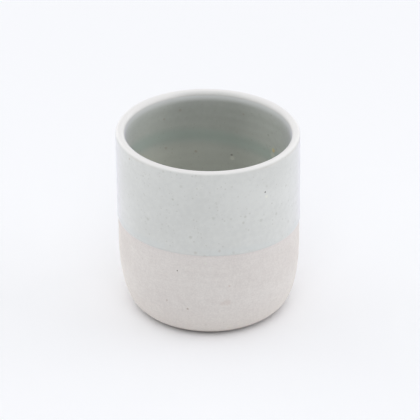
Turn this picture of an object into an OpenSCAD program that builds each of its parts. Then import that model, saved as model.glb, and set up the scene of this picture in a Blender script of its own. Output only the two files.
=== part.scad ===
// A thrown stoneware tumbler without a handle.
// The clay body is bare below. A dipped glaze covers the upper half outside and the rim,
// and a poured liner glaze covers the inside.
// The origin is the middle of the standing ring, on the table, and +Z is up.

/* [Cup] */
// Diameter over the dipped glaze, where the wall is straight
cup_d = 80; // [72:0.5:100]
// Height from the table to the top of the glazed rim
cup_h = 84; // [70:0.5:120]

/* [Clay body] */
// Thickness of the fired clay where the wall is straight
clay_wall = 3.1; // [2:0.1:5]
// Height at which the outside starts to curve in towards the foot
belly_h = 33; // [22:0.5:42]
// Diameter of the outer edge of the standing ring
foot_d = 54; // [48:0.5:62]
// Diameter of the recess turned into the underside
recess_d = 44; // [30:0.5:46]
// Depth of the recess
recess_depth = 1.2; // [0.6:0.1:2]
// How far the standing ring's inner edge is rounded off
recess_round = 1; // [0.4:0.1:2]
// Thickness of the clay floor above the recess
floor_t = 4.5; // [3:0.1:8]
// Diameter of the flat in the middle of the inside floor
well_d = 48; // [30:0.5:54]
// Height at which the inside starts to curve in towards the floor
well_h = 30; // [20:0.5:50]
// How square the curves of the belly and of the inside are, where 2 is a quarter of an ellipse
fullness = 2.5; // [2:0.1:3]

/* [Glaze] */
// Thickness of the dipped glaze on the outside wall
dip_t = 0.3; // [0.2:0.05:0.6]
// Thickness of the liner glaze
liner_t = 0.3; // [0.2:0.05:0.6]
// Thickness of the glaze on top of the rim, where it thins
rim_t = 0.2; // [0.1:0.05:0.5]
// Height of the lower edge of the dipped glaze
dip_line_h = 44.5; // [43:0.5:60]
// How far the roll along that edge stands out past the rest of the dipped glaze
roll_out = 0.2; // [0:0.05:0.5]
// Height of the roll
roll_h = 2.4; // [1:0.1:5]

/* [Hidden] */
$fn = 180;
// Steps along each curve of the foot and of the floor
curve_steps = 24;
// Steps along the round of the rim
rim_steps = 24;
// Steps along each half of the roll
roll_steps = 8;
// Steps along the rounded inner edge of the standing ring
recess_steps = 6;
// Where the roll stands out most, as a share of its height
roll_peak_share = 0.35;
// The power that sine and cosine are raised to along the full curves
curve_power = 2 / fullness;
clay_r = cup_d / 2 - dip_t;
bore_r = clay_r - clay_wall;
rim_r = clay_wall / 2;
rim_mid = bore_r + rim_r;
// The straight walls end at this height, and the half-round rim starts.
rim_z = cup_h - rim_r - rim_t;
floor_z = recess_depth + floor_t;
foot_r = foot_d / 2;
well_r = well_d / 2;
recess_r = recess_d / 2;

// A full, rounded quarter from the straight wall at [wall_r, top_z] in to the flat at [flat_r, flat_z]
function quarter_in(wall_r, top_z, flat_r, flat_z) =
    [for (step = [0:curve_steps])
        let (turn = 90 * step / curve_steps)
        let (out_share = pow(cos(turn), curve_power))
        let (down_share = pow(sin(turn), curve_power))
        [flat_r + (wall_r - flat_r) * out_share, top_z - (top_z - flat_z) * down_share]];

function backwards(points) = [for (step = [len(points) - 1:-1:0]) points[step]];

// Thickness of the glaze at one turn of the rim, from 0 at the outside wall to 180 at the inside wall
function rim_coat(turn) = rim_t * pow(sin(turn), 2) + (turn < 90 ? dip_t : liner_t) * pow(cos(turn), 2);

// The half round of the rim from the outside wall over to the inside wall, bare or under its glaze
function rim_round(glazed) =
    [for (step = [0:rim_steps])
        let (turn = 180 * step / rim_steps)
        let (reach = rim_r + (glazed ? rim_coat(turn) : 0))
        [rim_mid + reach * cos(turn), rim_z + reach * sin(turn)]];

// The rounded inner edge of the standing ring, from the ring up to the recess
recess_edge =
    [for (step = [0:recess_steps])
        let (turn = 90 * step / recess_steps)
        [recess_r - recess_round * sin(turn), recess_depth * (1 - cos(turn))]];

// The face of the roll from the bare clay at the dip line up to the even thickness above it
roll_face = concat(
    [for (step = [0:roll_steps])
        let (turn = 90 * step / roll_steps)
        [clay_r + (dip_t + roll_out) * sin(turn), dip_line_h + roll_h * roll_peak_share * (1 - cos(turn))]],
    [for (step = [1:roll_steps])
        let (turn = 180 * step / roll_steps)
        [clay_r + dip_t + roll_out * (1 + cos(turn)) / 2,
            dip_line_h + roll_h * (roll_peak_share + (1 - roll_peak_share) * step / roll_steps)]]);

clay_inside = quarter_in(bore_r, well_h, well_r, floor_z);
liner_inside = quarter_in(bore_r - liner_t, well_h, well_r, floor_z + liner_t);

module clay_body() {
    outside = backwards(quarter_in(clay_r, belly_h, foot_r, 0));
    color("#cfc3ba")
        rotate_extrude()
            polygon(concat(
                [[0, floor_z], [0, recess_depth]],
                backwards(recess_edge),
                outside,
                rim_round(false),
                clay_inside));
}

module dipped_glaze() {
    color("#c9d2cd")
        rotate_extrude()
            polygon(concat(
                roll_face,
                rim_round(true),
                backwards(rim_round(false))));
}

module liner_glaze() {
    color("#a9b8ac")
        rotate_extrude()
            polygon(concat(
                [[0, floor_z], [0, floor_z + liner_t]],
                backwards(liner_inside),
                [[bore_r - liner_t, rim_z], [bore_r, rim_z]],
                clay_inside));
}

clay_body();
dipped_glaze();
liner_glaze();
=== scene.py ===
"""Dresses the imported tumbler: thrown clay, two celadon glazes, soft studio light and a floor."""

import logging
import math
from dataclasses import asdict, dataclass
from enum import Enum

import bmesh
import bpy
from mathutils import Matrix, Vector


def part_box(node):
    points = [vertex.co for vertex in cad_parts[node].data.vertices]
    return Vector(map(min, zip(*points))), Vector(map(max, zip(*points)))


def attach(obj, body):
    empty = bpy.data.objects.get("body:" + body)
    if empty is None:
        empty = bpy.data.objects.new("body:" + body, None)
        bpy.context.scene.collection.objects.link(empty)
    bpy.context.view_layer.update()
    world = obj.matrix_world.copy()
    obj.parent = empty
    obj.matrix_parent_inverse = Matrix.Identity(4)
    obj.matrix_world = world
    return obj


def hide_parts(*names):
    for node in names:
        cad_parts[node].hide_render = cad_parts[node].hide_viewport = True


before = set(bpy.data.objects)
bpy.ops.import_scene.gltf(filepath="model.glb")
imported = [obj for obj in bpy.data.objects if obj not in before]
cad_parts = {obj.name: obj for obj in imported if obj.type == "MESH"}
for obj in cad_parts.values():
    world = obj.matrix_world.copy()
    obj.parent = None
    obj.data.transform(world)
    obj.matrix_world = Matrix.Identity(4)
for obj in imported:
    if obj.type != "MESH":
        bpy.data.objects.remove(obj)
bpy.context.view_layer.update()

log = logging.getLogger("tumbler")

MM = 0.001
# Two points of an outline that lie closer than this are one
SAME_POINT = 1e-7
# What the materials read from a mesh: a point's place before the hand work, and its height over the line
TURNED = "turned"
ABOVE_LINE = "above_line"

Point = tuple[float, float]
Reach = tuple[float, float]
Place = tuple[float, float, float]
Shown = tuple[float, float, float]
Socket = bpy.types.NodeSocket
Value = Socket | Vector | float | str | tuple[float, ...]
Inputs = dict[str | int, Value]


def linear(shown: Shown) -> tuple[float, float, float, float]:
    """Turns a colour as it shows on screen into the linear one that a shader takes.

    Args:
        shown: red, green and blue, from 0 to 255.

    Returns:
        The linear colour with an alpha of 1.
    """
    shares = [channel / 255 for channel in shown]
    made = [c / 12.92 if c <= 0.04045 else ((c + 0.055) / 1.055) ** 2.4 for c in shares]
    return (*made, 1.0)


def label(name: str) -> str:
    """Returns a field's name as a socket shows it, such as Rim Drop for rim_drop."""
    return name.replace("_", " ").title()


def new_object(name: str, data: bpy.types.ID) -> bpy.types.Object:
    """Makes an object of its data and adds it to the scene.

    Args:
        name: the object's name.
        data: its mesh, its light or its camera.

    Returns:
        The object.
    """
    made = bpy.data.objects.new(name, data)
    bpy.context.scene.collection.objects.link(made)
    return made


def aim(thing: bpy.types.Object, place: Vector | Place, target: Vector) -> None:
    """Puts a lamp or a camera at a place and points it at a target."""
    thing.location = place
    thing.rotation_euler = (target - thing.location).to_track_quat("-Z", "Y").to_euler()


class Graph:
    """Adds nodes to one node tree and joins them."""

    ROWS = 6
    STEP = (220, 260)
    LENGTHS = {"LENGTH", "DISTANCE"}

    def __init__(self, tree: bpy.types.NodeTree) -> None:
        """Starts on a tree, which may be empty."""
        self.tree = tree

    def add(self, kind: str, inputs: Inputs | None = None, **settings: object) -> bpy.types.Node:
        """Adds one node.

        Args:
            kind: the node's type.
            inputs: a socket to join or a value to set, by the input's name or number.
            settings: the node's own properties.

        Returns:
            The new node.
        """
        node = self.tree.nodes.new(kind)
        place = len(self.tree.nodes) - 1
        node.location = (place // self.ROWS * self.STEP[0], -(place % self.ROWS) * self.STEP[1])
        for name, value in settings.items():
            setattr(node, name, value)
        for key, value in (inputs or {}).items():
            self.feed(node.inputs[key], value)
        return node

    def feed(self, socket: Socket, value: Value) -> None:
        """Joins a socket to another, or sets its value.

        Args:
            socket: the input.
            value: the socket that it is joined to, or its value.
        """
        if isinstance(value, Socket):
            self.tree.links.new(value, socket)
        else:
            socket.default_value = value

    def math(self, operation: str, *values: Value) -> Socket:
        """Adds a Math node and returns its result."""
        return self.add("ShaderNodeMath", dict(enumerate(values)), operation=operation).outputs[0]

    def times(self, product: Value, *factors: Value) -> Socket:
        """Multiplies values.

        Args:
            product: the first value.
            factors: the others.

        Returns:
            The product of them all.
        """
        for factor in factors:
            product = self.math("MULTIPLY", product, factor)
        return product

    def ramp(self, share: Value, start: float, end: float) -> Socket:
        """Returns start where the share is 0, end where it is 1, and a straight ramp between them."""
        return self.math("MULTIPLY_ADD", share, end - start, start)

    def weighted(self, values: tuple[Socket, ...], weights: tuple[float, ...]) -> Socket:
        """Adds values up, each times its weight.

        Args:
            values: the values.
            weights: how much each of them counts.

        Returns:
            The sum.
        """
        total: Value = 0.0
        for value, weight in zip(values, weights):
            total = self.math("MULTIPLY_ADD", value, weight, total)
        return total

    def vector(self, operation: str, *values: Value) -> Socket:
        """Adds a Vector Math node.

        Args:
            operation: what it works out.
            values: its inputs, in order.

        Returns:
            Its result, which is a number for a length or a distance.
        """
        node = self.add("ShaderNodeVectorMath", operation=operation)
        for number, value in enumerate(values):
            self.feed(node.inputs["Scale" if operation == "SCALE" and number == 1 else number], value)
        return node.outputs["Value" if operation in self.LENGTHS else "Vector"]

    def parts(self, vector: Value) -> tuple[Socket, Socket, Socket]:
        """Returns a vector's x, y and z."""
        return tuple(self.add("ShaderNodeSeparateXYZ", {0: vector}).outputs)

    def joined(self, x: Value, y: Value, z: Value) -> Socket:
        """Returns the vector of x, y and z."""
        return self.add("ShaderNodeCombineXYZ", {0: x, 1: y, 2: z}).outputs[0]

    def between(self, value: Value, low: Value, high: Value) -> Socket:
        """Returns a smooth step from 0 at low to 1 at high, where low may be the larger one."""
        inputs = {"Value": value, "From Min": low, "From Max": high}
        return self.add("ShaderNodeMapRange", inputs, interpolation_type="SMOOTHSTEP").outputs[0]

    def reached(self, value: Value, reach: Reach, unit: float = 1.0) -> Socket:
        """Returns a smooth step over a reach that is counted in a unit."""
        return self.between(value, unit * reach[0], unit * reach[1])

    def noise(self, vector: Value, size: float, seed: Value = 0.0, detail: float = 0.0) -> Socket:
        """Returns soft noise from 0 to 1, with patches of a size and with finer layers of detail."""
        inputs = {"Vector": vector, "W": seed, "Scale": 1 / size, "Detail": detail}
        return self.add("ShaderNodeTexNoise", inputs, noise_dimensions="4D").outputs[0]

    def signed(self, noise: Value, reach: Value) -> Socket:
        """Turns noise from 0 to 1 into a value that swings to both sides of 0 by about reach."""
        return self.times(self.math("MULTIPLY_ADD", noise, 2.0, -1.0), reach)

    def mix(self, share: Value, first: Value, second: Value, blend: str = "MIX") -> Socket:
        """Returns the mix of two colours, where a share of 0 is all the first."""
        inputs = {0: share, 6: first, 7: second}
        return self.add("ShaderNodeMix", inputs, data_type="RGBA", blend_type=blend).outputs[2]

    def use(self, group: "Group", **inputs: Value) -> Socket:
        """Adds a node group.

        Args:
            group: the group.
            inputs: its inputs, by name in small letters with underscores for spaces.

        Returns:
            Its result.
        """
        node = self.add("ShaderNodeGroup", node_tree=group.tree)
        for name, value in inputs.items():
            self.feed(node.inputs[label(name)], value)
        return node.outputs[0]


class Group(Graph):
    """A node group in the making, with the sockets that bring its inputs in."""

    def __init__(self, name: str, kind: str, inputs: dict[str, str], output: tuple[str, str]) -> None:
        """Makes the group with its sockets.

        Args:
            name: the group's name.
            kind: ShaderNodeTree or GeometryNodeTree.
            inputs: each input's name and the last word of its socket type, such as Float.
            output: the same for its output.
        """
        super().__init__(bpy.data.node_groups.new(name, kind))
        for way, sockets in (("INPUT", inputs), ("OUTPUT", dict([output]))):
            for title, word in sockets.items():
                self.tree.interface.new_socket(title, in_out=way, socket_type="NodeSocket" + word)
        sources = self.add("NodeGroupInput")
        self.given = {title: sources.outputs[title] for title in inputs}


def straight(start: Point, end: Point, spacing: float) -> list[Point]:
    """Outlines a straight stretch with evenly spaced points, both ends included."""
    steps = max(1, math.ceil(math.dist(start, end) / spacing))
    return [tuple(a + (b - a) * step / steps for a, b in zip(start, end)) for step in range(steps + 1)]


def chained(*runs: list[Point]) -> list[Point]:
    """Joins stretches of an outline, and leaves out a point that repeats the one before it.

    Args:
        runs: the stretches, in order.

    Returns:
        The points of the whole outline.
    """
    points: list[Point] = []
    for point in (point for run in runs for point in run):
        if not points or math.dist(point, points[-1]) > SAME_POINT:
            points.append(point)
    return points


@dataclass(frozen=True)
class Cup:
    """The turned sizes, in metres, that the clay and its glazes share."""

    clay_r: float
    bore_r: float
    rim_z: float
    floor_z: float
    dip_line_h: float
    cup_h: float
    belly_h: float = 33 * MM
    foot_r: float = 27 * MM
    recess_r: float = 22 * MM
    recess_depth: float = 1.2 * MM
    recess_round: float = 1 * MM
    well_r: float = 24 * MM
    well_h: float = 30 * MM
    dip_t: float = 0.3 * MM
    liner_t: float = 0.3 * MM
    rim_t: float = 0.2 * MM
    # How square the curves are, where 2 is a quarter of an ellipse
    fullness: float = 2.5

    @classmethod
    def from_frame(cls, hand_room: float, lip_room: float) -> "Cup":
        """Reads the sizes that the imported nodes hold.

        Args:
            hand_room: how much smaller in radius the cup is made, which its uneven shape then takes up.
            lip_room: how much smaller again in radius the inside is made, which thickens the lip.

        Returns:
            The cup.
        """
        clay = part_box("clay_body")[1]
        dip_low, dip_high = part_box("dipped_glaze")
        liner_low, liner_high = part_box("liner_glaze")
        return cls(
            clay_r=clay.x - hand_room,
            bore_r=liner_high.x - hand_room - lip_room,
            rim_z=liner_high.z - lip_room / 2,
            floor_z=liner_low.z,
            dip_line_h=dip_low.z,
            cup_h=dip_high.z,
        )

    @property
    def rim_r(self) -> float:
        """Radius of the clay's half-round rim."""
        return (self.clay_r - self.bore_r) / 2

    @property
    def rim_mid(self) -> float:
        """Radius of the circle that the rim's middle follows."""
        return (self.clay_r + self.bore_r) / 2

    def outer_r(self, height: float) -> float:
        """Works out how wide the clay is outside.

        Args:
            height: how far above the table.

        Returns:
            The radius at that height.
        """
        rise = max(0.0, (self.belly_h - height) / self.belly_h)
        out_share = (1 - rise**self.fullness) ** (1 / self.fullness)
        return self.foot_r + (self.clay_r - self.foot_r) * out_share

    def curve(self, wall: Point, flat: Point, steps: int) -> list[Point]:
        """Outlines a full, rounded quarter from a straight wall in to a flat.

        Args:
            wall: radius and height where the wall ends.
            flat: radius and height where the flat starts.
            steps: how many stretches the curve has.

        Returns:
            Points of radius and height.
        """
        power = 2 / self.fullness
        points = [wall]
        for step in range(1, steps):
            turn = math.pi / 2 * step / steps
            out, down = math.cos(turn) ** power, math.sin(turn) ** power
            points.append((flat[0] + (wall[0] - flat[0]) * out, wall[1] - (wall[1] - flat[1]) * down))
        return [*points, flat]

    def rim(self, steps: int, glazed: bool) -> list[Point]:
        """Outlines the rim from the outside wall over to the inside wall.

        Args:
            steps: how many stretches the half round has.
            glazed: whether it is the glaze's face or the clay's.

        Returns:
            Points of radius and height.
        """
        points = []
        for step in range(steps + 1):
            turn = math.pi * step / steps
            side = self.dip_t if step * 2 < steps else self.liner_t
            coat = self.rim_t * math.sin(turn) ** 2 + side * math.cos(turn) ** 2
            reach = self.rim_r + (coat if glazed else 0)
            points.append((self.rim_mid + reach * math.cos(turn), self.rim_z + reach * math.sin(turn)))
        return points


@dataclass(frozen=True)
class HandWork:
    """How far a thrown cup strays from a turned one, in metres, and the seed of its noise."""

    lean: float = 0.8 * MM
    rim_drop: float = 0.83 * MM
    rim_wave: float = 0.12 * MM
    unround: float = 0.22 * MM
    ridge_depth: float = 0.025 * MM
    ridge_pitch: float = 4.5 * MM
    bore_shift: Place = (0.12 * MM, -0.4 * MM, 0.0)
    line_wave: float = 0.55 * MM
    line_drop: float = 0.9 * MM
    line_sag: float = 1.5 * MM
    line_reach: float = 12 * MM
    seed: float = 4.0


class ThrowingTree(Group):
    """The Geometry Nodes tree that turns an outline, and then gives it the marks of hand work."""

    WELD = 1e-6
    HARD_BEND = math.radians(50)
    # The patches of each kind of noise, as shares of the cup's radius
    UNROUND_SIZE = 1.1
    WAVE_SIZE = 0.8
    RIM_SIZE = 0.9
    COAT_SIZE = 0.25
    # The cup leans about a point at this share of its height, so that it stays inside its box
    LEAN_PIVOT = 0.6
    # The power of the height that the rim's drop grows with
    DROP_POWER = 2.0
    # Half the width of the lip, and the heights between which the inside floor starts
    LIP_REACH = 1.5 * MM
    FLOOR_REACH = (2 * MM, 5 * MM)

    SIZES = (
        "Cup Height", "Clay Radius", "Rim Middle", "Dip Line", "Lean", "Rim Drop", "Rim Wave", "Unround",
        "Ridge Depth", "Ridge Pitch", "Line Wave", "Line Drop", "Line Sag", "Line Reach", "Follow Line",
        "Coat Unevenness", "Seed",
    )
    INPUTS = {
        "Section": "Geometry",
        "Segments": "Int",
        "Bore Shift": "Vector",
        "Finish": "Material",
        **dict.fromkeys(SIZES, "Float"),
    }

    def __init__(self) -> None:
        """Builds the tree once, for every piece to use."""
        super().__init__("Thrown coat", "GeometryNodeTree", self.INPUTS, ("Geometry", "Geometry"))
        mesh = self._stored(self._wheel(), TURNED, "FLOAT_VECTOR", self._position())
        x, y, self.height = self.parts(self._position())
        flat = self.joined(x, y, 0.0)
        self.radius = self.vector("LENGTH", flat)
        self.direction = self.vector("NORMALIZE", flat)
        self.angle = self.math("ARCTAN2", y, x)
        self.share = self.math("DIVIDE", self.height, self.given["Cup Height"])
        wave, follow = self._line()
        above = self.math("MULTIPLY_ADD", wave, self.math("SUBTRACT", follow, 1.0), self.height)
        above = self.math("SUBTRACT", above, self.given["Dip Line"])
        mesh = self._stored(mesh, ABOVE_LINE, "FLOAT", above)
        self._finished(self._handled(mesh, wave, follow))

    def _position(self) -> Socket:
        """Returns the point's place."""
        return self.add("GeometryNodeInputPosition").outputs[0]

    def _worked(self, mesh: Socket, kind: str, inputs: Inputs | None = None, **settings: object) -> Socket:
        """Passes the mesh through a geometry node of a kind, and returns what comes out."""
        return self.add("GeometryNode" + kind, {"Geometry": mesh, **(inputs or {})}, **settings).outputs[0]

    def _stored(self, mesh: Socket, name: str, kind: str, value: Socket) -> Socket:
        """Keeps a value on the mesh under a name, for the materials to read."""
        inputs = {"Name": name, "Value": value}
        return self._worked(mesh, "StoreNamedAttribute", inputs, data_type=kind, domain="POINT")

    def _wheel(self) -> Socket:
        """Turns the outline about Z into one closed mesh.

        Returns:
            The turned mesh.
        """
        section, segments = self.given["Section"], self.given["Segments"]
        size = self.add("GeometryNodeAttributeDomainSize", {"Geometry": section})
        count = size.outputs["Point Count"]
        sides = {"Vertices X": self.math("ADD", segments, 1.0), "Vertices Y": count}
        grid = self.add("GeometryNodeMeshGrid", sides).outputs["Mesh"]
        index = self.add("GeometryNodeInputIndex").outputs[0]
        column = self.math("FLOOR", self.math("DIVIDE", index, count))
        turn = self.math("DIVIDE", self.times(column, math.tau), segments)
        inputs = {"Value": self._position(), "Index": self.math("MODULO", index, count)}
        place = self._worked(section, "SampleIndex", inputs, data_type="FLOAT_VECTOR")
        radius, _, height = self.parts(place)
        across = self.times(radius, self.math("COSINE", turn))
        along = self.times(radius, self.math("SINE", turn))
        mesh = self._worked(grid, "SetPosition", {"Position": self.joined(across, along, height)})
        return self._worked(mesh, "MergeByDistance", {"Distance": self.WELD})

    def _noise(self, size: float, step: float) -> Socket:
        """Returns noise that wanders round the cup, with its own pattern for each step of the seed."""
        return self.noise(self.direction, size, self.math("ADD", self.given["Seed"], step), detail=1.0)

    def _line(self) -> tuple[Socket, Socket]:
        """Works out how the dip line wanders.

        Returns:
            How far it wanders up or down, and how much of that a point follows.
        """
        given = self.given
        rightward = self.math("MAXIMUM", self.parts(self.direction)[0], 0.0)
        drop = self.math("ADD", self.times(rightward, rightward, given["Line Sag"]), given["Line Drop"])
        swing = self.signed(self._noise(self.WAVE_SIZE, step=1.0), given["Line Wave"])
        wave = self.math("SUBTRACT", swing, drop)
        top = self.math("ADD", given["Dip Line"], given["Line Reach"])
        near = self.between(self.height, top, given["Dip Line"])
        return wave, self.times(near, given["Follow Line"])

    def _handled(self, mesh: Socket, wave: Socket, follow: Socket) -> Socket:
        """Moves the turned mesh as the potter's hands did.

        Args:
            mesh: the turned mesh.
            wave: how far the dip line wanders up or down.
            follow: how much of that a point follows.

        Returns:
            The moved mesh.
        """
        given = self.given
        swell = self.times(self._noise(self.UNROUND_SIZE, step=2.0), given["Unround"])
        winding = self.times(self.math("DIVIDE", self.height, given["Ridge Pitch"]), math.tau)
        ridge = self.math("SINE", self.math("SUBTRACT", winding, self.angle))
        ridge = self.times(ridge, given["Ridge Depth"])
        coat = self.math("MAXIMUM", self.math("SUBTRACT", self.radius, given["Clay Radius"]), 0.0)
        uneven = self.times(self._noise(self.COAT_SIZE, step=3.0), given["Coat Unevenness"])
        outward = self.math("SUBTRACT", self.math("SUBTRACT", ridge, swell), self.times(coat, uneven))
        rightward = self.math("MULTIPLY_ADD", self.parts(self.direction)[0], 0.5, 0.5)
        drop = self.times(rightward, given["Rim Drop"])
        drop = self.math("MULTIPLY_ADD", self._noise(self.RIM_SIZE, step=4.0), given["Rim Wave"], drop)
        drop = self.times(drop, self.math("POWER", self.share, self.DROP_POWER))
        lean = self.times(self.math("SUBTRACT", self.LEAN_PIVOT, self.share), given["Lean"])
        upward = self.math("SUBTRACT", self.times(wave, follow), drop)
        swollen = self.vector("SCALE", self.direction, outward)
        offset = self.vector("ADD", swollen, self.joined(lean, 0.0, upward))
        shifted = self.vector("SCALE", given["Bore Shift"], self._inside())
        return self._worked(mesh, "SetPosition", {"Offset": self.vector("ADD", offset, shifted)})

    def _inside(self) -> Socket:
        """Tells the inside of the cup from the rest.

        Returns:
            1 inside the cup, 0 outside and underneath, and a smooth step over the rim.
        """
        middle = self.given["Rim Middle"]
        outer_end = self.math("ADD", middle, self.LIP_REACH)
        inner_end = self.math("SUBTRACT", middle, self.LIP_REACH)
        inner = self.between(self.radius, outer_end, inner_end)
        return self.times(inner, self.reached(self.height, self.FLOOR_REACH))

    def _finished(self, mesh: Socket) -> None:
        """Smooths the shading up to the hard edges, makes the mesh real, and gives it its finish.

        Args:
            mesh: the moved mesh.
        """
        mesh = self._worked(mesh, "SetShadeSmooth")
        bend = self.add("GeometryNodeInputMeshEdgeAngle").outputs["Unsigned Angle"]
        hard = self.add("FunctionNodeCompare", {"A": bend, "B": self.HARD_BEND}, operation="GREATER_THAN")
        inputs = {"Selection": hard.outputs[0], "Shade Smooth": False}
        mesh = self._worked(mesh, "SetShadeSmooth", inputs, domain="EDGE")
        mesh = self._worked(mesh, "RealizeInstances")
        mesh = self._worked(mesh, "SetMaterial", {"Material": self.given["Finish"]})
        self.add("NodeGroupOutput", {"Geometry": mesh})

    def throw(self, name: str, outline: list[Point], values: dict[str, object]) -> bpy.types.Object:
        """Makes one piece from its outline.

        Args:
            name: the piece's name.
            outline: points of radius and height, from one end of the section to the other.
            values: a value for each of the tree's inputs, apart from the outline.

        Returns:
            The piece as a plain mesh, with its faces pointing outwards.
        """
        mesh = bpy.data.meshes.new(name)
        mesh.from_pydata([(radius, 0.0, height) for radius, height in outline], [], [])
        piece = new_object(name, mesh)
        modifier = piece.modifiers.new("Thrown", "NODES")
        modifier.node_group = self.tree
        for item in self.tree.interface.items_tree:
            if item.name in values:
                modifier[item.identifier] = values[item.name]
        evaluated = piece.evaluated_get(bpy.context.evaluated_depsgraph_get())
        made = bpy.data.meshes.new_from_object(evaluated)
        piece.modifiers.clear()
        piece.data = made
        made.name = name
        shell = bmesh.new()
        shell.from_mesh(made)
        bmesh.ops.recalc_face_normals(shell, faces=shell.faces)
        shell.to_mesh(made)
        shell.free()
        return piece


class Tone(Enum):
    """The colours of specks and stains in the clay and the glaze, as they show on screen."""

    IRON = (84, 78, 70)
    BROWN = (150, 128, 108)
    RUST = (186, 160, 146)
    ASH = (156, 154, 140)
    OLIVE = (170, 172, 160)
    PALE = (226, 226, 214)
    OCHRE = (232, 214, 160)


@dataclass(frozen=True)
class Mark:
    """One speck or stain at a known place, with its turn in degrees and its sizes in millimetres."""

    turn: float
    height: float
    radius: float
    tone: Tone
    strength: float

    def centre(self, surface_r: float) -> Vector:
        """Returns its place in metres, where the turn is counted from the front to the right."""
        turn = math.radians(self.turn)
        return Vector((surface_r * math.sin(turn), -surface_r * math.cos(turn), self.height * MM))


@dataclass(frozen=True)
class Scatter:
    """Specks strewn over a surface, in metres, where kept is the share of them that is there."""

    spacing: float
    kept: float
    radius: float
    tone: Tone
    strength: float
    softness: float = 0.8
    shift: float = 0.0


@dataclass(frozen=True)
class Wash:
    """A tint as it shows on screen, the reach that it comes in over, and how much of it covers."""

    tone: Shown
    reach: Reach
    strength: float = 1.0


class SharedGroups:
    """The shader node groups that more than one finish uses."""

    SMALLEST_SPECK = 0.35
    # A single mark's ragged edge, and the share of its radius that is full
    RAGGED_SIZE = 0.7 * MM
    RAGGED_REACH = 0.45
    MARK_CORE = 0.35
    # The two sizes of cloud that firing leaves, and how much each counts
    CLOUD_SIZES = (16 * MM, 2 * MM)
    CLOUD_WEIGHTS = (0.55, 0.45)
    CLOUD_REACH = (0.36, 0.64)

    def __init__(self) -> None:
        """Builds each group once."""
        self.specks = self._specks()
        self.mark = self._mark()
        self.mottle = self._mottle()

    @staticmethod
    def _group(name: str, output: str, *sizes: str, vectors: tuple[str, ...] = ("Vector",)) -> Group:
        """Starts a group that reads vectors and sizes, and puts out one value."""
        inputs = {**dict.fromkeys(vectors, "Vector"), **dict.fromkeys(sizes, "Float")}
        return Group(name, "ShaderNodeTree", inputs, (output, "Float"))

    def _specks(self) -> Group:
        """Builds scattered round specks of uneven size.

        Returns:
            The group, with a mask of 1 on the specks.
        """
        group = self._group("Scattered specks", "Mask", "Spacing", "Kept Share", "Radius Share", "Softness")
        given = group.given
        scale = group.math("DIVIDE", 1.0, given["Spacing"])
        cells = group.add("ShaderNodeTexVoronoi", {"Vector": given["Vector"], "Scale": scale})
        chance, size, _ = group.parts(cells.outputs["Color"])
        kept = group.math("LESS_THAN", chance, given["Kept Share"])
        radius = group.times(group.ramp(size, self.SMALLEST_SPECK, 1.0), given["Radius Share"])
        core = group.times(radius, group.math("SUBTRACT", 1.0, given["Softness"]))
        spot = group.between(cells.outputs["Distance"], radius, core)
        group.add("NodeGroupOutput", {"Mask": group.times(spot, kept)})
        return group

    def _mark(self) -> Group:
        """Builds one ragged spot about a centre.

        Returns:
            The group, with a mask of 1 on the spot.
        """
        group = self._group("Single mark", "Mask", "Radius", vectors=("Vector", "Centre"))
        vector, radius = group.given["Vector"], group.given["Radius"]
        away = group.vector("DISTANCE", vector, group.given["Centre"])
        ragged = group.signed(group.noise(vector, self.RAGGED_SIZE, detail=1.0), self.RAGGED_REACH)
        away = group.math("DIVIDE", away, group.math("MULTIPLY_ADD", ragged, radius, radius))
        group.add("NodeGroupOutput", {"Mask": group.between(away, 1.0, self.MARK_CORE)})
        return group

    def _mottle(self) -> Group:
        """Builds the soft cloudiness that firing leaves.

        Returns:
            The group, with a factor from 0 to 1.
        """
        group = self._group("Kiln mottle", "Factor", "Seed")
        vector, seed = group.given["Vector"], group.given["Seed"]
        clouds = tuple(group.noise(vector, size, seed, detail=2.0) for size in self.CLOUD_SIZES)
        factor = group.reached(group.weighted(clouds, self.CLOUD_WEIGHTS), self.CLOUD_REACH)
        group.add("NodeGroupOutput", {"Factor": factor})
        return group


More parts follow.
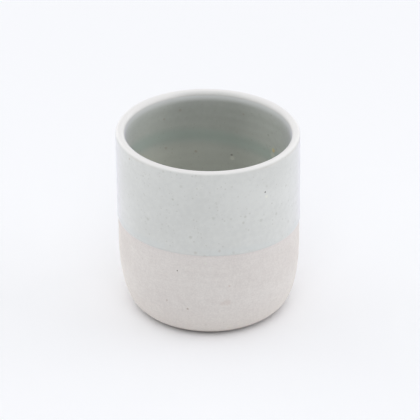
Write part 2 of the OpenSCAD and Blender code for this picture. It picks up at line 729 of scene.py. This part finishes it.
class Finish(Graph):
    """A material in the making: its turned coordinates, its mottle, and how tints and marks go on."""

    def __init__(self, name: str, groups: SharedGroups, cup: Cup, seed: float) -> None:
        """Starts the material.

        Args:
            name: its name.
            groups: the shared node groups.
            cup: the cup that it covers.
            seed: what sets its mottle apart from the others'.
        """
        self.material = bpy.data.materials.new(name)
        self.material.use_nodes = True
        super().__init__(self.material.node_tree)
        self.tree.nodes.clear()
        self.groups = groups
        self.cup = cup
        self.turned = self.add("ShaderNodeAttribute", attribute_name=TURNED).outputs["Vector"]
        self.above = self.add("ShaderNodeAttribute", attribute_name=ABOVE_LINE).outputs["Fac"]
        self.x, self.y, self.height = self.parts(self.turned)
        self.mottle = self.use(groups.mottle, vector=self.turned, seed=seed)

    def over_rim(self) -> Socket:
        """Returns a point's height over where the rim starts to round."""
        return self.math("SUBTRACT", self.height, self.cup.rim_z)

    def inward(self) -> Socket:
        """Returns how far in from the middle of the rim a point lies."""
        radius = self.vector("LENGTH", self.joined(self.x, self.y, 0.0))
        return self.math("SUBTRACT", self.cup.rim_mid, radius)

    def dimmed(self, colour: Socket, light: Socket) -> Socket:
        """Returns the colour times a share of light."""
        return self.mix(1.0, colour, self.joined(light, light, light), "MULTIPLY")

    def laid(self, colour: Socket, wash: Wash, along: Socket, *masks: Socket) -> Socket:
        """Lays a tint over a colour.

        Args:
            colour: the colour below.
            wash: the tint.
            along: the value that its reach is counted in.
            masks: how much of it is left at each point.

        Returns:
            The colour with the tint.
        """
        share = self.times(self.reached(along, wash.reach), *masks, wash.strength)
        return self.mix(share, colour, linear(wash.tone))

    def strewn(self, colour: Socket, specks: Scatter) -> Socket:
        """Strews specks over a colour.

        Args:
            colour: the colour below.
            specks: the specks.

        Returns:
            The colour with the specks.
        """
        mask = self.use(
            self.groups.specks,
            vector=self.vector("ADD", self.turned, (specks.shift,) * 3),
            spacing=specks.spacing,
            kept_share=specks.kept,
            radius_share=specks.radius / specks.spacing,
            softness=specks.softness,
        )
        return self.mix(self.times(mask, specks.strength), colour, linear(specks.tone.value))

    def marked(self, colour: Socket, mark: Mark, surface_r: float) -> Socket:
        """Puts a single mark on a colour.

        Args:
            colour: the colour below.
            mark: the mark.
            surface_r: the radius of the surface there.

        Returns:
            The colour with the mark.
        """
        place = {"vector": self.turned, "centre": mark.centre(surface_r), "radius": mark.radius * MM}
        mask = self.use(self.groups.mark, **place)
        return self.mix(self.times(mask, mark.strength), colour, linear(mark.tone.value))

    def shade(self, colour: Value, roughness: Value, height: Value, depth: float, **fixed: Value) -> None:
        """Adds the shader.

        Args:
            colour: the base colour.
            roughness: the roughness.
            height: the surface's fine relief, from 0 to 1.
            depth: how deep that relief is, in metres.
            fixed: further inputs of the shader, by name with underscores for spaces.
        """
        bump = self.add("ShaderNodeBump", {"Strength": 1.0, "Distance": depth, "Height": height})
        inputs = {"Base Color": colour, "Roughness": roughness, "Normal": bump.outputs[0]}
        shader = self.add("ShaderNodeBsdfPrincipled", inputs)
        for name, value in fixed.items():
            shader.inputs[name.replace("_", " ")].default_value = value
        self.add("ShaderNodeOutputMaterial", {"Surface": shader.outputs[0]})


@dataclass(frozen=True)
class Surface:
    """What the clay and the glazes share: two mottled tones, then flow, specks and marks over them."""

    name: str
    seed: float
    pale: Shown
    dark: Shown
    marks: tuple[Mark, ...]
    specks: tuple[Scatter, ...]

    def build(self, groups: SharedGroups, cup: Cup) -> bpy.types.Material:
        """Makes the material.

        Args:
            groups: the shared node groups.
            cup: the cup, for where the lip, the bands and the marks lie.

        Returns:
            The material.
        """
        finish = Finish(self.name, groups, cup, self.seed)
        colour = finish.mix(finish.mottle, linear(self.pale), linear(self.dark))
        colour = self.flowed(finish, colour)
        for specks in self.specks:
            colour = finish.strewn(colour, specks)
        for mark in self.marks:
            colour = finish.marked(colour, mark, self.surface_r(cup, mark.height * MM))
        self.shaded(finish, colour)
        return finish.material

    def surface_r(self, cup: Cup, height: float) -> float:
        """Returns the surface's radius at a height."""
        raise NotImplementedError

    def flowed(self, finish: Finish, colour: Socket) -> Socket:
        """Returns the colour with what the glaze's flow, or the hand and the kiln, did to it, and with any
        painted light and shade.
        """
        raise NotImplementedError

    def shaded(self, finish: Finish, colour: Socket) -> None:
        """Adds the fine relief and the shader."""
        raise NotImplementedError


@dataclass(frozen=True)
class BareStoneware(Surface):
    """Unglazed fired clay: matt, finely sanded, pinkish grey, with a few dark specks."""

    name: str = "Bare stoneware"
    seed: float = 7.0
    pale: Shown = (222, 217, 212)
    dark: Shown = (216, 210, 205)
    marks: tuple[Mark, ...] = (
        Mark(-19.9, 35.2, 0.42, Tone.IRON, 0.85),
        Mark(-14.0, 16.3, 0.7, Tone.BROWN, 0.55),
        Mark(-28.0, 18.8, 0.6, Tone.BROWN, 0.35),
        Mark(11.5, 20.0, 2.2, Tone.RUST, 0.18),
        Mark(8.2, 19.6, 1.4, Tone.RUST, 0.15),
        Mark(12.7, 28.4, 0.7, Tone.RUST, 0.35),
        Mark(-2.1, 40.1, 0.8, Tone.PALE, 0.4),
    )
    specks: tuple[Scatter, ...] = (
        Scatter(1.8 * MM, 0.3, 0.3 * MM, Tone.BROWN, 0.3, softness=0.6),
        Scatter(7 * MM, 0.2, 0.4 * MM, Tone.IRON, 0.5, softness=0.5, shift=0.3),
    )
    # The tints just under the glaze line and low on the belly, and the painted shade on the foot where the
    # clay meets the table
    flush: Wash = Wash((220, 214, 210), (-6 * MM, 0.0), 0.6)
    low: Wash = Wash((220, 213, 206), (20 * MM, 3 * MM), 0.6)
    foot: Wash = Wash((136, 124, 112), (3.4 * MM, 0.2 * MM), 0.8)
    grain_size: float = 0.4 * MM
    grit_size: float = 0.8 * MM
    line_size: float = 9 * MM
    line_squeeze: float = 14.0
    # How much the grain, the grit and the lines count in the colour and in the relief
    tint_weights: tuple[float, ...] = (0.3, 0.5, 0.2)
    tint_ends: Reach = (0.3, 0.7)
    tint_reach: float = 0.052
    relief_weights: tuple[float, ...] = (0.5, 0.25, 0.25)
    relief_depth: float = 0.045 * MM
    roughness: Reach = (0.78, 0.9)
    specular: float = 0.25

    def surface_r(self, cup: Cup, height: float) -> float:
        """Returns the radius of the clay's outside at a height."""
        return cup.outer_r(height)

    def texture(self, finish: Finish) -> tuple[Socket, Socket, Socket]:
        """Adds the clay's fine textures.

        Args:
            finish: the material in the making.

        Returns:
            The grain, the grit and the lines that the sponge drew round, each from 0 to 1.
        """
        grain = finish.noise(finish.turned, self.grain_size, seed=1.0, detail=1.0)
        grit = finish.noise(finish.turned, self.grit_size, seed=3.0, detail=1.0)
        drawn = finish.joined(finish.x, finish.y, finish.times(finish.height, self.line_squeeze))
        return grain, grit, finish.noise(drawn, self.line_size, seed=2.0, detail=2.0)

    def flowed(self, finish: Finish, colour: Socket) -> Socket:
        """Adds the flush, the painted shade on the foot, and the light and shade of the texture.

        Args:
            finish: the material in the making.
            colour: the mottled clay.

        Returns:
            The colour with all of them.
        """
        colour = finish.laid(colour, self.flush, finish.above)
        colour = finish.laid(colour, self.low, finish.height)
        # painted shade: darkens the clay towards the table, where shade falls
        colour = finish.laid(colour, self.foot, finish.height)
        tint = finish.reached(finish.weighted(self.texture(finish), self.tint_weights), self.tint_ends)
        return finish.dimmed(colour, finish.ramp(tint, 1 - self.tint_reach, 1 + self.tint_reach))

    def shaded(self, finish: Finish, colour: Socket) -> None:
        """Adds the sanded relief and the matt shader.

        Args:
            finish: the material in the making.
            colour: the clay's colour with its specks and marks.
        """
        texture = self.texture(finish)
        relief = finish.weighted(texture, self.relief_weights)
        roughness = finish.ramp(texture[0], *self.roughness)
        finish.shade(colour, roughness, relief, self.relief_depth, Specular_IOR_Level=self.specular)


@dataclass(frozen=True)
class Celadon(Surface):
    """A pale grey-green glaze that thins to near white over the lip and darkens where it pools."""

    specks: tuple[Scatter, ...] = (
        Scatter(1.7 * MM, 0.6, 0.6 * MM, Tone.ASH, 0.28),
        Scatter(3.6 * MM, 0.5, 1.0 * MM, Tone.ASH, 0.22, shift=0.2),
        Scatter(6.0 * MM, 0.3, 0.7 * MM, Tone.ASH, 0.4, shift=0.7),
    )
    lip: Shown = (238, 236, 233)
    lip_reach: Reach = (-0.85 * MM, 0.8 * MM)
    # How much a step inwards counts as a step up, so that the pale lip runs in over its top
    lip_slant: float = 0.7
    ior: float = 1.5
    gloss: float = 0.34
    gloss_wander: float = 0.04
    coat: float = 0.5
    sheen: float = 0.6
    sheen_roughness: float = 0.3
    sheen_tint: Shown = (240, 236, 255)
    peel_size: float = 3.2 * MM
    peel_depth: float = 0.05 * MM

    def worn(self, finish: Finish) -> Socket:
        """Returns the mask of the lip, which starts on its outer shoulder and runs in over its top."""
        over = finish.math("MULTIPLY_ADD", finish.inward(), self.lip_slant, finish.over_rim())
        return finish.reached(over, self.lip_reach)

    def shaded(self, finish: Finish, colour: Socket) -> None:
        """Adds the pale lip, the slightly uneven surface and the glossy shader.

        Args:
            finish: the material in the making.
            colour: the glaze's colour with its specks and marks.
        """
        finish.shade(
            finish.mix(self.worn(finish), colour, linear(self.lip)),
            finish.ramp(finish.mottle, self.gloss - self.gloss_wander, self.gloss + self.gloss_wander),
            finish.noise(finish.turned, self.peel_size, seed=2.0, detail=2.0),
            self.peel_depth,
            IOR=self.ior,
            Coat_Weight=self.coat,
            Coat_Roughness=self.gloss,
            Sheen_Weight=self.sheen,
            Sheen_Roughness=self.sheen_roughness,
            Sheen_Tint=linear(self.sheen_tint),
        )


@dataclass(frozen=True)
class DippedCeladon(Celadon):
    """The outside glaze, which breaks warm on the lip's shoulder and lets the clay show at its edge."""

    name: str = "Dipped celadon"
    seed: float = 39.85
    pale: Shown = (213, 214, 210)
    dark: Shown = (206, 207, 203)
    marks: tuple[Mark, ...] = (
        Mark(37.3, 70.7, 0.55, Tone.IRON, 0.95),
        Mark(38.3, 68.4, 1.1, Tone.PALE, 0.6),
        Mark(6.6, 47.1, 0.8, Tone.BROWN, 0.22),
        Mark(-8.0, 46.0, 0.9, Tone.BROWN, 0.2),
        Mark(-2.6, 44.9, 0.7, Tone.BROWN, 0.2),
        Mark(-22.0, 69.9, 0.8, Tone.OLIVE, 0.45),
        Mark(-11.0, 52.9, 1.0, Tone.OLIVE, 0.4),
        Mark(46.4, 57.7, 0.9, Tone.OLIVE, 0.4),
        Mark(34.2, 57.6, 1.1, Tone.OLIVE, 0.3),
        Mark(3.1, 62.4, 1.0, Tone.OLIVE, 0.3),
        Mark(23.1, 61.4, 0.9, Tone.OLIVE, 0.35),
        Mark(21.8, 58.7, 0.9, Tone.OLIVE, 0.35),
        Mark(-40.3, 56.6, 1.0, Tone.OLIVE, 0.4),
        Mark(-56.5, 81.0, 0.7, Tone.BROWN, 0.4),
    )
    # The patches above the roll where the glaze pooled
    roll: Wash = Wash((202, 207, 206), (5 * MM, 1.5 * MM), 0.35)
    pool_size: float = 14 * MM
    pool_ends: Reach = (0.4, 0.6)
    edge: Wash = Wash((208, 204, 200), (0.9 * MM, 0.1 * MM), 0.75)
    # The warm line on the shoulder, counted from where the rim starts to round
    shoulder: Wash = Wash((198, 186, 172), (-0.2 * MM, 0.6 * MM), 0.2)
    shoulder_end: Reach = (1.3 * MM, 0.7 * MM)
    patch_size: float = 9 * MM
    patch_ends: Reach = (0.42, 0.62)
    # The lip's inner face at the back, in rim radii inwards and in bore radii backwards, and how much the
    # pale lip is dimmed there as painted shade
    inner_reach: Reach = (0.3, 0.95)
    behind_reach: Reach = (0.88, 1.01)
    back_loss: float = 0.5

    def surface_r(self, cup: Cup, height: float) -> float:
        """Returns the radius of the even coat's face."""
        return cup.clay_r + cup.dip_t

    def worn(self, finish: Finish) -> Socket:
        """Masks the lip, but less of its inner face at the back, where shade is painted on.

        Args:
            finish: the material in the making.

        Returns:
            The mask, from 0 to 1.
        """
        inner = finish.reached(finish.inward(), self.inner_reach, finish.cup.rim_r)
        behind = finish.reached(finish.y, self.behind_reach, finish.cup.bore_r)
        # painted shade: the pale lip is dimmed on its inner face at the back
        kept = finish.ramp(finish.times(inner, behind), 1.0, 1.0 - self.back_loss)
        return finish.times(super().worn(finish), kept)

    def flowed(self, finish: Finish, colour: Socket) -> Socket:
        """Adds the roll's tint, the thin lower edge and the warm line on the lip's shoulder.

        Args:
            finish: the material in the making.
            colour: the mottled glaze.

        Returns:
            The colour with all of them.
        """
        pools = finish.noise(finish.turned, self.pool_size, seed=5.0, detail=1.0)
        pooled = finish.reached(pools, self.pool_ends)
        colour = finish.laid(colour, self.roll, finish.above, pooled)
        colour = finish.laid(colour, self.edge, finish.above)
        end = finish.reached(finish.over_rim(), self.shoulder_end)
        patches = finish.noise(finish.turned, self.patch_size, seed=6.0, detail=1.0)
        patchy = finish.reached(patches, self.patch_ends)
        return finish.laid(colour, self.shoulder, finish.over_rim(), end, patchy)


@dataclass(frozen=True)
class LinerCeladon(Celadon):
    """The inside glaze, with a tilted ring where it pooled, a warmer coat below it, and painted light and
    shade on its walls.
    """

    name: str = "Liner celadon"
    seed: float = 35.95
    pale: Shown = (194, 197, 190)
    dark: Shown = (188, 191, 184)
    marks: tuple[Mark, ...] = (
        Mark(163.5, 53.0, 0.75, Tone.IRON, 0.6),
        Mark(163.0, 51.4, 1.5, Tone.PALE, 0.5),
        Mark(128.2, 59.7, 2.1, Tone.PALE, 0.7),
        Mark(127.3, 62.2, 1.4, Tone.OCHRE, 0.95),
        Mark(-170.8, 54.2, 0.9, Tone.BROWN, 0.4),
        Mark(-148.3, 58.3, 0.9, Tone.BROWN, 0.3),
        Mark(154.4, 74.6, 0.7, Tone.BROWN, 0.35),
        Mark(-147.2, 73.0, 0.8, Tone.BROWN, 0.3),
        Mark(-159.7, 75.7, 0.9, Tone.BROWN, 0.3),
        Mark(132.9, 68.4, 0.8, Tone.OLIVE, 0.6),
    )
    lip: Shown = (239, 240, 239)
    lip_reach: Reach = (-2.1 * MM, 1.2 * MM)
    gloss: float = 0.38
    peel_depth: float = 0.02 * MM
    # The ring, and the warmer coat below it that is partly painted light, are counted from the ring's
    # tilted height
    ring: Wash = Wash((179, 190, 182), (5.5 * MM, 0.5 * MM), 0.85)
    ring_h: float = 62 * MM
    tilt: float = 0.11
    below: Wash = Wash((205, 206, 197), (-1 * MM, -9 * MM))
    # How strong the coat below is at the right and at the left, where more of it is painted light, and the
    # bore radii between them
    below_ends: Reach = (0.4, 1.0)
    left_reach: Reach = (0.3, -0.9)
    # Where the sides start and end, in bore radii, and the painted light and shade low and high up: the
    # back is darkened, most high up, and the sides are lightened, most low down
    side_reach: Reach = (0.25, 1.0)
    thin_reach: Reach = (52 * MM, 78 * MM)
    back_thin: Reach = (0.92, 0.83)
    side_thin: Reach = (1.32, 1.14)
    # The pale fade up to the lip, where the coat thins, and its strength at the middle and at the sides,
    # where the extra is painted light
    fade: Wash = Wash(lip, (-6.5 * MM, 0.0))
    fade_ends: Reach = (0.14, 0.5)

    def surface_r(self, cup: Cup, height: float) -> float:
        """Returns the radius of the glaze's face."""
        return cup.bore_r - cup.liner_t

    def flowed(self, finish: Finish, colour: Socket) -> Socket:
        """Adds the pooled ring, the warmer coat below it, the painted light and shade on the back and the
        sides, and the fade up to the lip.

        Args:
            finish: the material in the making.
            colour: the mottled glaze.

        Returns:
            The colour with all of them.
        """
        x, bore_r = finish.x, finish.cup.bore_r
        tilted = finish.math("MULTIPLY_ADD", x, self.tilt, finish.height)
        level = finish.math("SUBTRACT", tilted, self.ring_h)
        # partly a warmer coat and partly painted light: lighter below the ring, most of all low on the left
        # inside wall
        painted_light_leftward = finish.ramp(finish.reached(x, self.left_reach, bore_r), *self.below_ends)
        colour = finish.laid(colour, self.below, level, painted_light_leftward)
        colour = finish.laid(colour, self.ring, finish.math("ABSOLUTE", level))
        # painted light and shade on the inside walls: darker at the back, lighter at the sides
        aside = finish.reached(finish.math("ABSOLUTE", x), self.side_reach, bore_r)
        upward = finish.reached(finish.height, self.thin_reach)
        back = finish.ramp(upward, *self.back_thin)
        side = finish.ramp(upward, *self.side_thin)
        painted_light_and_shade = finish.math("MULTIPLY_ADD", aside, finish.math("SUBTRACT", side, back), back)
        colour = finish.dimmed(colour, painted_light_and_shade)
        # the stronger fade at the sides is painted light
        return finish.laid(colour, self.fade, finish.over_rim(), finish.ramp(aside, *self.fade_ends))


@dataclass
class Piece:
    """One coat of the cup: its outline, its finish and the CAD node that it stands for."""

    cup: Cup
    hand: HandWork
    finish: bpy.types.Material
    segments: int = 320
    fine: float = 0.55 * MM
    coarse: float = 4 * MM
    # The steps along the clay's rim and inside curve, which the glaze hides
    hidden_rim_steps: int = 12
    hidden_curve_steps: int = 16
    name: str = ""
    node: str = ""
    slot: str = ""
    follow: float = 0.0
    unevenness: float = 0.0

    def outline(self) -> list[Point]:
        """Returns the points of radius and height round the piece's section."""
        raise NotImplementedError

    def clay_inside(self) -> list[Point]:
        """Outlines the clay's inside under its glaze, from the rim down to the middle of the floor.

        Returns:
            Points of radius and height.
        """
        cup = self.cup
        return chained(
            straight((cup.bore_r, cup.rim_z), (cup.bore_r, cup.well_h), self.coarse),
            cup.curve((cup.bore_r, cup.well_h), (cup.well_r, cup.floor_z), self.hidden_curve_steps),
            straight((cup.well_r, cup.floor_z), (0.0, cup.floor_z), self.coarse),
        )

    def build(self, wheel: ThrowingTree) -> bpy.types.Object:
        """Throws the piece and ties it to the frame.

        Args:
            wheel: the tree that turns the outline.

        Returns:
            The finished piece.
        """
        values = {
            "Segments": self.segments,
            "Cup Height": self.cup.cup_h,
            "Clay Radius": self.cup.clay_r,
            "Rim Middle": self.cup.rim_mid,
            "Dip Line": self.cup.dip_line_h,
            "Follow Line": self.follow,
            "Coat Unevenness": self.unevenness,
            "Finish": self.finish,
            **{label(name): value for name, value in asdict(self.hand).items()},
        }
        piece = wheel.throw(self.name, self.outline(), values)
        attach(piece, "root")
        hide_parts(self.node)
        log.info("%s: %d faces, stands for %s", piece.name, len(piece.data.polygons), self.node)
        return piece


@dataclass
class ClayBody(Piece):
    """The thrown and fired clay, bare below the dip line and underneath."""

    name: str = "thrown_clay_body"
    node: str = "clay_body"
    slot: str = "bare_stoneware"
    belly_steps: int = 80
    edge_steps: int = 8
    recess_spacing: float = 2 * MM
    ring_spacing: float = 1 * MM
    # How far above the dip line the fine steps go on, under the glaze
    covered: float = 2 * MM

    def recess_edge(self) -> list[Point]:
        """Outlines the rounded inner edge of the standing ring, from the recess down to the ring.

        Returns:
            Points of radius and height.
        """
        cup = self.cup
        points = []
        for step in range(self.edge_steps, -1, -1):
            turn = math.pi / 2 * step / self.edge_steps
            radius = cup.recess_r - cup.recess_round * math.sin(turn)
            points.append((radius, cup.recess_depth * (1 - math.cos(turn))))
        return points

    def outline(self) -> list[Point]:
        """Outlines the clay from underneath, round the outside and the rim, to the inside floor.

        Returns:
            Points of radius and height.
        """
        cup = self.cup
        covered_h = cup.dip_line_h + self.covered
        edge_start = (cup.recess_r - cup.recess_round, cup.recess_depth)
        return chained(
            straight((0.0, cup.recess_depth), edge_start, self.recess_spacing),
            self.recess_edge(),
            straight((cup.recess_r, 0.0), (cup.foot_r, 0.0), self.ring_spacing),
            cup.curve((cup.clay_r, cup.belly_h), (cup.foot_r, 0.0), self.belly_steps)[::-1],
            straight((cup.clay_r, cup.belly_h), (cup.clay_r, covered_h), self.fine),
            straight((cup.clay_r, covered_h), (cup.clay_r, cup.rim_z), self.coarse),
            cup.rim(self.hidden_rim_steps, False),
            self.clay_inside(),
        )


@dataclass
class DippedGlaze(Piece):
    """The glaze that the upper half was dipped in, with a thicker roll along its lower edge."""

    name: str = "dipped_glaze_coat"
    node: str = "dipped_glaze"
    slot: str = "dipped_celadon"
    follow: float = 1.0
    unevenness: float = 0.5
    roll_out: float = 0.2 * MM
    roll_h: float = 2.4 * MM
    roll_peak: float = 0.35
    roll_steps: int = 10
    rim_steps: int = 40
    # How far the coat's back reaches into the clay, so that no gap shows
    keyed: float = 0.04 * MM

    def roll(self) -> list[Point]:
        """Outlines the roll's face, from the clay at the dip line up to the even coat above it.

        Returns:
            Points of radius and height.
        """
        cup = self.cup
        points = []
        for step in range(self.roll_steps + 1):
            turn = math.pi / 2 * step / self.roll_steps
            out = (cup.dip_t + self.roll_out + self.keyed) * math.sin(turn) - self.keyed
            rise = self.roll_peak * (1 - math.cos(turn))
            points.append((cup.clay_r + out, cup.dip_line_h + self.roll_h * rise))
        for step in range(1, self.roll_steps + 1):
            share = step / self.roll_steps
            out = cup.dip_t + self.roll_out * (1 + math.cos(math.pi * share)) / 2
            rise = self.roll_peak + (1 - self.roll_peak) * share
            points.append((cup.clay_r + out, cup.dip_line_h + self.roll_h * rise))
        return points

    def outline(self) -> list[Point]:
        """Outlines the coat up the outside, over the rim, and back down against the clay.

        Returns:
            Points of radius and height.
        """
        cup = self.cup
        roll = self.roll()
        back_r = cup.clay_r - self.keyed
        return chained(
            roll,
            straight(roll[-1], (cup.clay_r + cup.dip_t, cup.rim_z), self.fine),
            cup.rim(self.rim_steps, True),
            cup.rim(self.hidden_rim_steps, False)[::-1],
            straight((back_r, cup.rim_z), (back_r, cup.dip_line_h), self.coarse),
        )


@dataclass
class LinerGlaze(Piece):
    """The glaze poured inside, from the rim's inner edge down over the floor."""

    name: str = "liner_glaze_coat"
    node: str = "liner_glaze"
    slot: str = "liner_celadon"
    curve_steps: int = 56
    floor_spacing: float = 1.2 * MM

    def outline(self) -> list[Point]:
        """Outlines the coat from the floor up against the clay, and back down the glaze's face.

        Returns:
            Points of radius and height.
        """
        cup = self.cup
        face_r = cup.bore_r - cup.liner_t
        face_z = cup.floor_z + cup.liner_t
        return chained(
            self.clay_inside()[::-1],
            straight((face_r, cup.rim_z), (face_r, cup.well_h), self.fine),
            cup.curve((face_r, cup.well_h), (cup.well_r, face_z), self.curve_steps),
            straight((cup.well_r, face_z), (0.0, face_z), self.floor_spacing),
        )


@dataclass(frozen=True)
class Lamp:
    """A soft area lamp that points at the object's middle, sized and placed in metres."""

    name: str
    watts: float
    place: Place
    size: tuple[float, float]
    tint: Shown = (255, 255, 255)

    def build(self, middle: Vector) -> None:
        """Adds the lamp, which lights the surfaces but isn't mirrored in the glaze.

        Args:
            middle: where it points.
        """
        light = bpy.data.lights.new(self.name, "AREA")
        light.energy = self.watts
        light.color = linear(self.tint)[:3]
        light.shape = "RECTANGLE"
        light.size, light.size_y = self.size
        lamp = new_object(self.name, light)
        lamp.visible_glossy = False
        aim(lamp, self.place, middle)
        log.info("%s: %.1f W", self.name, self.watts)


@dataclass(frozen=True)
class Studio:
    """A pale floor, a soft sky that is brighter overhead, soft lamps round it, and a long lens."""

    PANEL = (1.2, 0.75)
    STRIP = (1.4, 0.3)
    SQUARE = (0.9, 0.9)

    floor_size: float = 12.0
    floor_colour: Shown = (252, 252, 253)
    horizon: float = 0.41
    horizon_colour: Shown = (244, 248, 255)
    overhead: float = 0.7
    overhead_colour: Shown = (255, 254, 253)
    lamps: tuple[Lamp, ...] = (
        Lamp("left_panel", 2.65, (-1.4, 0.0, 0.4), PANEL, (253, 252, 255)),
        Lamp("right_panel", 5.2, (1.4, 0.0, 0.4), PANEL, (250, 250, 255)),
        Lamp("back_left_strip", 7.4, (-1.1, 0.9, 0.17), STRIP),
        Lamp("back_right_strip", 3.8, (1.1, 0.9, 0.17), STRIP),
        Lamp("front_lamp", 3.4, (0.0, -0.9, 1.19), SQUARE),
    )
    # The camera's degrees above the table, its distance, its lens in millimetres and what it clips
    elevation: float = 29.49
    distance: float = 1.1955
    lens: float = 235.3
    clip: Reach = (0.05, 50.0)
    # How far right of and above the object's middle it points
    aim_right: float = 0.62 * MM
    aim_up: float = 1.57 * MM

    def build(self, middle: Vector) -> None:
        """Makes the floor, the light and the camera.

        Args:
            middle: the middle of the object, which the camera looks at.
        """
        self._floor()
        self._sky()
        for lamp in self.lamps:
            lamp.build(middle)
        self._camera(middle)

    def _floor(self) -> None:
        """Makes the floor, which only takes the object's shadow."""
        half = self.floor_size / 2
        corners = [(-half, -half, 0), (half, -half, 0), (half, half, 0), (-half, half, 0)]
        mesh = bpy.data.meshes.new("floor")
        mesh.from_pydata(corners, [], [(0, 1, 2, 3)])
        floor = new_object("floor", mesh)
        material = bpy.data.materials.new("Studio paper")
        material.use_nodes = True
        shader = material.node_tree.nodes["Principled BSDF"]
        shader.inputs["Base Color"].default_value = linear(self.floor_colour)
        shader.inputs["Roughness"].default_value = 1.0
        shader.inputs["Specular IOR Level"].default_value = 0.0
        mesh.materials.append(material)
        log.info("floor: %.0f m across", self.floor_size)

    def _sky(self) -> None:
        """Lights the object softly from all round, and shows white to the camera and in reflections."""
        world = bpy.data.worlds.new("Studio")
        world.use_nodes = True
        world.node_tree.nodes.clear()
        bpy.context.scene.world = world
        graph = Graph(world.node_tree)
        path = graph.add("ShaderNodeLightPath")
        seen = graph.math("MAXIMUM", path.outputs["Is Camera Ray"], path.outputs["Is Glossy Ray"])
        seen = graph.math("MAXIMUM", seen, path.outputs["Is Transmission Ray"])
        upward = graph.parts(graph.add("ShaderNodeTexCoord").outputs["Generated"])[2]
        upward = graph.math("MAXIMUM", upward, 0.0)
        lift = graph.times(graph.times(upward, upward), self.overhead)
        lift = graph.vector("SCALE", linear(self.overhead_colour)[:3], lift)
        low = tuple(channel * self.horizon for channel in linear(self.horizon_colour)[:3])
        colour = graph.mix(seen, graph.vector("ADD", lift, low), (1.0, 1.0, 1.0, 1.0))
        background = graph.add("ShaderNodeBackground", {"Color": colour, "Strength": 1.0})
        graph.add("ShaderNodeOutputWorld", {"Surface": background.outputs[0]})

    def _camera(self, middle: Vector) -> None:
        """Adds the camera at the photograph's angle, and makes it the scene's.

        Args:
            middle: the middle of the object.
        """
        data = bpy.data.cameras.new("camera")
        data.lens = self.lens
        data.clip_start, data.clip_end = self.clip
        camera = new_object("camera", data)
        lift = math.radians(self.elevation)
        back = Vector((0.0, -math.cos(lift), math.sin(lift)))
        up = Vector((0.0, math.sin(lift), math.cos(lift)))
        target = middle + Vector((self.aim_right, 0.0, 0.0)) + up * self.aim_up
        aim(camera, middle + back * self.distance, target)
        bpy.context.scene.camera = camera
        log.info("camera: %.0f mm lens, %.1f degrees up", self.lens, self.elevation)


def main() -> None:
    """Builds the cup coat by coat, then the studio round it."""
    logging.basicConfig(level=logging.INFO, format="%(name)s: %(message)s")
    bpy.context.scene.view_settings.view_transform = "Standard"
    cup = Cup.from_frame(hand_room=0.15 * MM, lip_room=0.2 * MM)
    hand = HandWork()
    wheel = ThrowingTree()
    groups = SharedGroups()
    for kind, surface in (
        (ClayBody, BareStoneware()),
        (DippedGlaze, DippedCeladon()),
        (LinerGlaze, LinerCeladon()),
    ):
        kind(cup, hand, surface.build(groups, cup)).build(wheel)
    Studio().build(Vector((0.0, 0.0, cup.cup_h / 2)))


if __name__ == "__main__":
    main()
